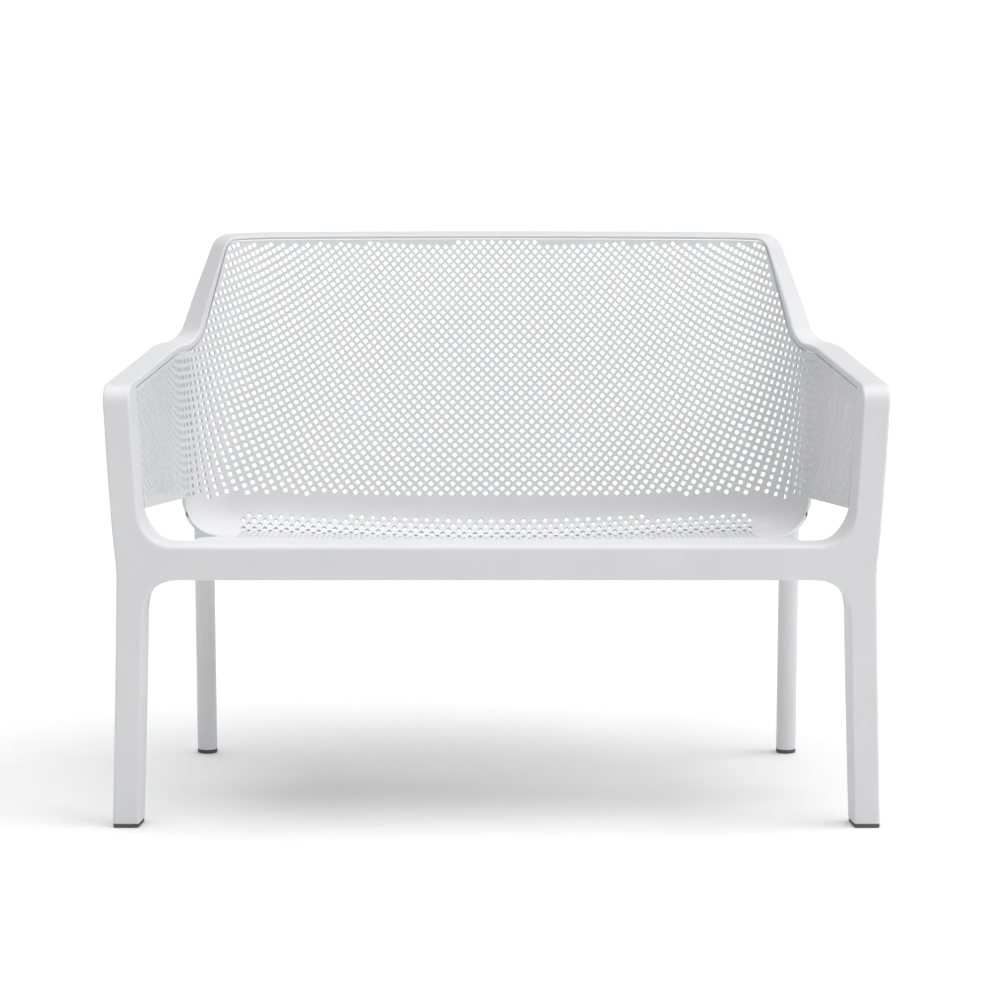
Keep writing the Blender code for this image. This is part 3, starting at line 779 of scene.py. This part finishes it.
def seat_holes():
    """Rings of the seat's holes in plan."""
    holes = []
    columns = int(SEAT_SPAN / SEAT_PITCH * 2) + 1
    for half_column in range(0, columns + 1):
        x = half_column * SEAT_PITCH / 2.0
        table = seat_profile(x)
        start = next(entry[0] for entry in table if entry[1] >= SEAT_FIRST_Y)
        row = half_column % 2
        while True:
            length = start + row * SEAT_ROW
            row += 2
            found = [k for k, entry in enumerate(table[:-1]) if entry[0] <= length < table[k + 1][0]]
            if not found:
                break
            k = found[0]
            a, b = table[k], table[k + 1]
            y = mix(a[1], b[1], (length - a[0]) / (b[0] - a[0]))
            shrink = (b[1] - a[1]) / (b[0] - a[0])
            ring = hole_outline(Vector((0.0, 0.0)), Vector((0.7071, 0.7071)), Vector((-0.7071, 0.7071)))
            ring = [Vector((x + p.x, y + p.y * shrink)) for p in ring]
            if not all(seat_hole_fits(p) for p in ring):
                continue
            holes.append(ring)
            if half_column:
                holes.append([Vector((-p.x, p.y)) for p in reversed(ring)])
    return holes


SEAT_TOP_HOLE_T = 0.235       # share of the bend above which there are none


def seat_hole_fits(p):
    """Whether a corner of a seat hole keeps clear of the seat's solid edges."""
    if p.y > seat_edge_y(p.x) + 0.0001:
        spot = bend_spot(min(1.0, p.x / BASE_REACH * 1.05), SEAT_TOP_HOLE_T)
        if p.y > spot.y:
            return False
    first_y = SEAT_FIRST_Y + SEAT_FRONT_CURVE * (max(0.0, p.x) / SEAT_SPAN) ** SEAT_FRONT_POWER
    if p.y < first_y - HOLE_SIDE * 0.75:
        return False
    t = (p.y - BEAM_DEPTH) / (bend_feet[-1].y - BEAM_DEPTH)
    edge_x = mix(SEAT_FRONT_HALF, bend_feet[-1].x, 1.0 - (1.0 - min(1.0, t)) ** SEAT_NECK)
    return p.x < min(edge_x - SEAT_MARGIN, SEAT_SPAN)


# ---- Ribbon frame: legs, knees, arms and rim in one loft ----

ARC = (0.0, 30.0, 60.0, 90.0)


def soft_ring(corners, radius):
    """Closed ring through four corners, each turned by a small arc."""
    ring = []
    for k, corner in enumerate(corners):
        back = (corners[k - 1] - corner).normalized()
        ahead = (corners[(k + 1) % 4] - corner).normalized()
        centre = corner + (back + ahead) * radius
        for degrees in ARC:
            angle = math.radians(degrees)
            ring.append(centre - (ahead * math.cos(angle) + back * math.sin(angle)) * radius)
    return ring


def loft_mesh(name, rings, material, smooth_angle=35.0, weighted=False):
    """Closed solid through rings that all have the same point count."""
    count = len(rings[0])
    verts = [point for ring in rings for point in ring]
    faces = [list(range(count))]
    for low in range(len(rings) - 1):
        for k in range(count):
            nxt = (k + 1) % count
            faces.append([low * count + k, low * count + nxt,
                          (low + 1) * count + nxt, (low + 1) * count + k])
    faces.append([(len(rings) - 1) * count + k for k in range(count)])
    return finish_mesh(name, verts, faces, material, smooth_angle, weighted)


def leg_outer_x(y, z):
    """Outer face of the front leg: widest at the arm, narrowest at the beam."""
    taper = (side_x(0.0, z) - side_x(LEG_DEPTH, z)) * y / LEG_DEPTH
    arm_x = side_x(0.0, ARM_FRONT_Z) + BAND_WIDTH - BAND_LIP
    if z > LEG_WAIST_Z:
        rise = (z - LEG_WAIST_Z) / (ARM_FRONT_Z - LEG_WAIST_Z)
        return mix(LEG_WAIST_X, arm_x, rise ** 0.75) - taper
    return mix(LEG_WAIST_X, LEG_FOOT_X, (1.0 - z / LEG_WAIST_Z) ** 1.15) - taper


def leg_inner_x(y, z):
    """Inner face of the front leg."""
    return leg_outer_x(y, z) - mix(LEG_WIDTH, BAND_WIDTH, min(1.0, max(0.0, z / ARM_FRONT_Z)))


def leg_rear_y(z):
    """Depth of the front leg at a level."""
    return mix(FOOT_DEPTH, LEG_DEPTH, min(1.0, z / BEAM_LOW_Z))


def knee_rings(sign):
    """Rings from the leg's joint up round the knee to where the arm begins."""
    slope = (ARM_FRONT_Z - ARM_REAR_Z) / (reach_to(0.0, ARM_FRONT_Z) - RISE_LOW_U)
    end_z = ARM_FRONT_Z - slope * LEG_DEPTH
    corners = [(0.0, JOIN_Z), (0.0, ARM_FRONT_Z), (LEG_DEPTH, end_z)]
    arc = rounded(corners, [0.0, KNEE_RADIUS, 0.0], 14)
    outline = [Vector((0.0, mix(JOIN_Z, arc[1].y, k / 5))) for k in range(5)] + arc[1:-1]
    outline += [arc[-2].lerp(arc[-1], k / 3) for k in range(1, 4)]
    length = sum((b - a).length for a, b in zip(outline, outline[1:]))
    walked = 0.0
    rings = []
    for k, front in enumerate(outline):
        if k:
            walked += (front - outline[k - 1]).length
        rear = Vector((LEG_DEPTH, mix(JOIN_Z, end_z - BAND_THICK, walked / length)))
        places = ((leg_outer_x, front), (leg_inner_x, front), (leg_inner_x, rear), (leg_outer_x, rear))
        quad = [Vector((sign * side(p.x, p.y), p.x, p.y)) for side, p in places]
        rings.append(soft_ring(quad, LEG_EDGE))
    return rings


def band_quad(u, z, step, sign):
    """Corners of the band's section: outer top, inner top, inner under, outer under."""
    here, normal = wall(u, z)
    line = rim_half
    before = wall(u - sign * step, level_at(line, abs(u) - step))[0]
    after = wall(u + sign * step, level_at(line, abs(u) + step))[0]
    along = (after - before).normalized()
    normal = (normal - along * normal.dot(along)).normalized()
    inward = normal.cross(along).normalized() * sign
    thick = band_thick(z)
    far = BAND_WIDTH - BAND_LIP
    spots = ((far, 0.0), (-BAND_LIP, 0.0), (-BAND_LIP, thick), (far, thick))
    return [here + normal * across + inward * deep for across, deep in spots], along


rim_half = rim_line()


def band_half(sign):
    """Rings from the front of one arm to the middle of the top edge."""
    stops = []
    for low, high in zip(rim_half, rim_half[1:]):
        pieces = max(1, round((high - low).length / 0.008))
        stops += [low.lerp(high, k / pieces) for k in range(pieces)]
    front_u = reach_to(LEG_DEPTH, ARM_FRONT_Z)
    stops = [s for s in stops if s.x < front_u - 0.006]
    stops.append(Vector((front_u, level_at(rim_half, front_u))))
    rings = []
    for spot in reversed(stops):
        quad, along = band_quad(sign * spot.x, spot.y, BAND_STEP, sign)
        if not rings:
            quad = [p + along * ((LEG_DEPTH - p.y) / along.y) for p in quad]
        rings.append(soft_ring(quad, LEG_EDGE))
    return rings


def make_ribbon(material):
    """Arms, rim and the upper legs as one band."""
    left = knee_rings(-1.0)[:-1] + band_half(-1.0)
    right = knee_rings(1.0)[:-1] + band_half(1.0)
    rings = left + list(reversed(right[:-1]))
    return loft_mesh("rim_band", rings, material, 50.0, True)


def front_half_outline(y):
    """Right half of the front frame: (x, z, edge radius), from the beam's middle bottom."""
    points = [(mix(0.0, BEAM_STRAIGHT, k / 6), BEAM_LOW_Z, BEAM_LOW_EDGE) for k in range(6)]
    for k in range(12):
        angle = math.radians(90.0) * k / 11
        z = BEAM_LOW_Z - BEAM_FILLET * (1.0 - math.cos(angle))
        points.append((leg_inner_x(y, z) - BEAM_FILLET * (1.0 - math.sin(angle)), z, FILLET_EDGE))
    foot_z = CAP_HEIGHT + GAP
    start = BEAM_LOW_Z - BEAM_FILLET
    points += [(leg_inner_x(y, z), z, LEG_EDGE) for z in (mix(start, foot_z, k / 12) for k in range(1, 13))]
    points += [(leg_outer_x(y, z), z, LEG_EDGE) for z in (mix(foot_z, JOIN_Z, k / 30) for k in range(31))]
    top = BEAM_HIGH_Z + BEAM_FILLET
    points += [(leg_inner_x(y, z), z, LEG_EDGE) for z in (mix(JOIN_Z, top, k / 8) for k in range(8))]
    for k in range(12):
        angle = math.radians(90.0) * (11 - k) / 11
        z = BEAM_HIGH_Z + BEAM_FILLET * (1.0 - math.cos(angle))
        x = leg_inner_x(y, z) - BEAM_FILLET * (1.0 - math.sin(angle))
        points.append((x, z, mix(LEG_EDGE, BEAM_EDGE, ease(k / 9))))
    points += [(mix(BEAM_STRAIGHT, 0.0, k / 6), BEAM_HIGH_Z, BEAM_EDGE) for k in range(1, 7)]
    return points


def front_outline(y):
    half = front_half_outline(y)
    return half + [(-x, z, r) for x, z, r in reversed(half[1:-1])]


def make_front_frame(material):
    """Front legs and beam in one piece, with soft front edges."""
    base = front_outline(0.0)
    count = len(base)
    flats = []
    for k, (x, z, radius) in enumerate(base):
        before = Vector(base[k - 1][:2])
        after = Vector(base[(k + 1) % count][:2])
        run = (after - before).normalized()
        normal = Vector((run.y, -run.x))
        end = abs(z - JOIN_Z) < 1e-6 or z < CAP_HEIGHT + 1.5 * GAP
        if end:
            outer = abs(x) > leg_inner_x(0.0, z) + 0.01
            normal = Vector((math.copysign(1.0, x) * (1.0 if outer else -1.0), 0.0))
        flats.append(normal)
    rings = []
    for degrees in (90.0, 70.0, 50.0, 30.0, 15.0, 0.0):
        ring = []
        angle = math.radians(degrees)
        for (x, z, radius), normal in zip(base, flats):
            y = radius * (1.0 - math.sin(angle))
            spot = Vector((x, z)) - normal * radius * (1.0 - math.cos(angle))
            ring.append(Vector((spot.x, y, spot.y)))
        rings.append(ring)
    for share in (0.35, 0.7, 1.0):
        ring = []
        for k, (x, z, radius) in enumerate(base):
            leg_share = ease((abs(x) - 0.495) / 0.035)
            rear = mix(BEAM_DEPTH, leg_rear_y(z), leg_share)
            y = mix(radius, rear, share)
            bx, bz, _ = front_outline_at(y)[k]
            ring.append(Vector((bx, y, bz)))
        rings.append(ring)
    return loft_mesh("front_frame", rings, material, 40.0, True)


outline_cache = {}


def front_outline_at(y):
    key = round(y, 4)
    if key not in outline_cache:
        outline_cache[key] = front_outline(key)
    return outline_cache[key]


# ---- Foot caps, and the rear legs' centre line ----

CAP_PROFILE = ((0.0, 0.0014), (0.0005, 0.0005), (0.0014, 0.0),
               (CAP_HEIGHT - 0.0006, 0.0), (CAP_HEIGHT, 0.0005))    # (level, inset) up a cap
CAP_CORNER = 0.0030          # rounding of a front cap in plan


def round_ring(centre, radius, sides=40):
    """Level circle of points."""
    ring = []
    for k in range(sides):
        angle = 2.0 * math.pi * k / sides
        ring.append(centre + Vector((math.cos(angle), math.sin(angle), 0.0)) * radius)
    return ring


def rear_leg_centre(sign, z):
    return Vector((sign * REAR_LEG_X, mix(REAR_LEG_FOOT_Y, REAR_LEG_TOP_Y, z / REAR_LEG_TOP_Z), z))


def make_front_cap(name, sign, material):
    """Flat cap under a front leg, with rounded corners."""
    rings = []
    for z, inset in CAP_PROFILE:
        places = ((leg_outer_x, 0.0, -inset, inset), (leg_inner_x, 0.0, inset, inset),
                  (leg_inner_x, FOOT_DEPTH, inset, -inset), (leg_outer_x, FOOT_DEPTH, -inset, -inset))
        quad = [Vector((sign * (side(y, 0.0) + push), y + slide, z)) for side, y, push, slide in places]
        rings.append(soft_ring(quad, CAP_CORNER))
    return loft_mesh(name, rings, material, 40.0)


def make_rear_cap(name, sign, material):
    """Round cap under a rear leg."""
    foot = rear_leg_centre(sign, 0.0)
    rings = []
    for z, inset in CAP_PROFILE:
        rings.append(round_ring(foot + Vector((0.0, 0.0, z)), REAR_LEG_RADIUS - inset))
    return loft_mesh(name, rings, material, 40.0)


# ---- Finishes ----

WHITE_LOW, WHITE_HIGH = (0.715, 0.715, 0.73), (0.735, 0.735, 0.745)
GREY_LOW, GREY_HIGH = (0.085, 0.082, 0.082), (0.12, 0.115, 0.115)
FLOOR_LOW, FLOOR_HIGH = (0.93, 0.93, 0.93), (0.95, 0.95, 0.95)

def node(tree, kind, **inputs):
    """Add a shader node and set its inputs by name."""
    made = tree.nodes.new(kind)
    for key, value in inputs.items():
        made.inputs[key.replace("_", " ")].default_value = value
    return made


def moulded(name, low_colour, high_colour, low_rough, high_rough, grain, depth):
    """Moulded surface: fine grain, faint cloudy tone and uneven sheen."""
    material = bpy.data.materials.new(name)
    material.use_nodes = True
    tree = material.node_tree
    shader = tree.nodes["Principled BSDF"]
    place = tree.nodes.new("ShaderNodeTexCoord")
    cloud = node(tree, "ShaderNodeTexNoise", Scale=9.0, Detail=4.0, Roughness=0.55)
    fine = node(tree, "ShaderNodeTexNoise", Scale=grain, Detail=3.0, Roughness=0.6)
    tone = tree.nodes.new("ShaderNodeValToRGB")
    tone.color_ramp.elements[0].color = (*low_colour, 1.0)
    tone.color_ramp.elements[1].color = (*high_colour, 1.0)
    tone.color_ramp.elements[0].position = 0.35
    tone.color_ramp.elements[1].position = 0.65
    sheen = node(tree, "ShaderNodeMapRange", To_Min=low_rough, To_Max=high_rough)
    bump = node(tree, "ShaderNodeBump", Strength=0.35, Distance=depth)
    tree.links.new(place.outputs["Object"], cloud.inputs["Vector"])
    tree.links.new(place.outputs["Object"], fine.inputs["Vector"])
    tree.links.new(cloud.outputs["Fac"], tone.inputs["Fac"])
    tree.links.new(tone.outputs["Color"], shader.inputs["Base Color"])
    tree.links.new(fine.outputs["Fac"], sheen.inputs["Value"])
    tree.links.new(sheen.outputs["Result"], shader.inputs["Roughness"])
    tree.links.new(fine.outputs["Fac"], bump.inputs["Height"])
    tree.links.new(bump.outputs["Normal"], shader.inputs["Normal"])
    return material


# ---- Studio ----

def make_floor():
    """Wide, plain, pale floor."""
    reach = 40.0
    mesh = bpy.data.meshes.new("floor")
    corners = [(-reach, -reach, 0.0), (reach, -reach, 0.0), (reach, reach, 0.0), (-reach, reach, 0.0)]
    mesh.from_pydata(corners, [], [(0, 1, 2, 3)])
    floor = bpy.data.objects.new("floor", mesh)
    bpy.context.scene.collection.objects.link(floor)
    mesh.materials.append(moulded("floor_paper", FLOOR_LOW, FLOOR_HIGH, 0.85, 1.0, 300.0, 0.0001))


def add_sun(name, towards, strength, softness):
    """Soft light that comes from one direction."""
    lamp = bpy.data.lights.new(name, 'SUN')
    lamp.energy = strength
    lamp.angle = math.radians(softness)
    holder = bpy.data.objects.new(name, lamp)
    holder.rotation_euler = Vector(towards).to_track_quat('Z', 'Y').to_euler()
    bpy.context.scene.collection.objects.link(holder)


def add_softbox(name, place, target, power, size):
    """Square area light turned to a target."""
    lamp = bpy.data.lights.new(name, 'AREA')
    lamp.energy = power
    lamp.size = size
    holder = bpy.data.objects.new(name, lamp)
    holder.location = place
    holder.rotation_euler = (Vector(place) - Vector(target)).to_track_quat('Z', 'Y').to_euler()
    bpy.context.scene.collection.objects.link(holder)


CAMERA_BACK = 10.0           # from the front face of the legs
CAMERA_HEIGHT = 2.4715
CAMERA_TILT = 0.194836
CAMERA_FOCUS = 6906.15 / 1000.0
CAMERA_ASIDE = 0.0052


def make_camera():
    """Long lens a little above the bench, square to its front."""
    lens = bpy.data.cameras.new("camera")
    lens.sensor_width = 36.0
    lens.lens = 36.0 * CAMERA_FOCUS
    lens.clip_end = 100.0
    camera = bpy.data.objects.new("camera", lens)
    camera.location = (CAMERA_ASIDE, FRONT - CAMERA_BACK, CAMERA_HEIGHT)
    camera.rotation_euler = (math.pi / 2.0 - CAMERA_TILT, 0.0, 0.0)
    bpy.context.scene.collection.objects.link(camera)
    bpy.context.scene.camera = camera


def make_studio():
    """Floor, soft lights and the camera."""
    make_floor()
    world = bpy.data.worlds.new("studio")
    world.use_nodes = True
    world.node_tree.nodes["Background"].inputs["Color"].default_value = (1.0, 1.0, 1.0, 1.0)
    world.node_tree.nodes["Background"].inputs["Strength"].default_value = 0.30
    bpy.context.scene.world = world
    add_sun("key", (0.72, -0.05, 0.66), 0.95, 45.0)
    add_sun("overhead", (0.0, -0.02, 1.0), 2.10, 60.0)
    add_softbox("side_box", (2.4, -2.6, 2.2), (0.0, 0.0, 0.4), 13.0, 1.5)
    bpy.context.scene.view_settings.view_transform = 'Standard'
    make_camera()


def build():
    white = moulded("white_moulding", WHITE_LOW, WHITE_HIGH, 0.40, 0.56, 900.0, 0.0002)
    grey = moulded("grey_rubber", GREY_LOW, GREY_HIGH, 0.55, 0.75, 1400.0, 0.0002)
    wall_piece = make_wall(white)
    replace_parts(wall_piece, "back_panel", "side_panel_left", "side_panel_right")
    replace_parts(make_seat(white), "seat_panel")
    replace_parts(make_ribbon(white), "back_rim", "arm_left", "arm_right")
    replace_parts(make_front_frame(white), "front_beam", "front_leg_left", "front_leg_right")
    for side, sign in (("left", -1.0), ("right", 1.0)):
        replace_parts(make_front_cap("front_cap_" + side, sign, grey), "front_foot_cap_" + side)
        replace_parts(make_rear_cap("rear_cap_" + side, sign, grey), "rear_foot_cap_" + side)
    for name in ("rear_beam", "seat_rail_left", "seat_rail_right", "rear_leg_left", "rear_leg_right"):
        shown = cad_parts[name]
        shown.data.materials.clear()
        shown.data.materials.append(white)
    make_studio()


build()
